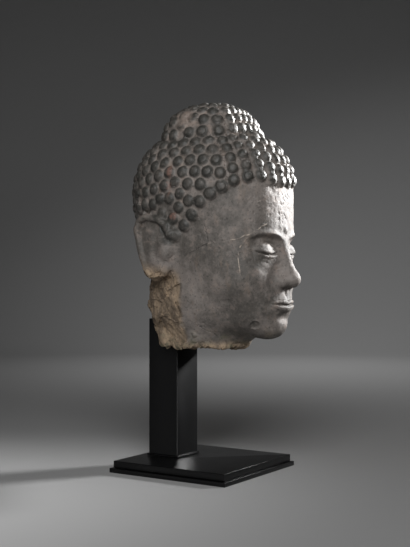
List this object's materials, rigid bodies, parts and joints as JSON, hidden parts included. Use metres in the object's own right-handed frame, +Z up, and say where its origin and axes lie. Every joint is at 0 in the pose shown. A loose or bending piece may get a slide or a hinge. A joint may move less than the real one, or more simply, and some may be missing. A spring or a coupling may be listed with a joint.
{
  "type": "stone buddha head",
  "caption": "Carved stone Buddha head with close round curls, a low topknot and a broken neck, carried by a square black post on a stepped square base.",
  "frame": {"origin": "centre of the base's underside, on the surface the stand rests on", "axes": "+Z up, -Z out of the base's underside; the face looks along -Y; X runs across the face"},
  "size_m": [0.1871, 0.2478, 0.5011],
  "materials": {
    "carved_stone": "worn dark grey volcanic stone, tan where broken",
    "black_paint": "smooth satin black paint"
  },
  "bodies": {
    "root": {"stone_head": "carved_stone", "mount_post": "black_paint", "base_upper_plate": "black_paint", "base_lower_plate": "black_paint"}
  },
  "joints": []
}
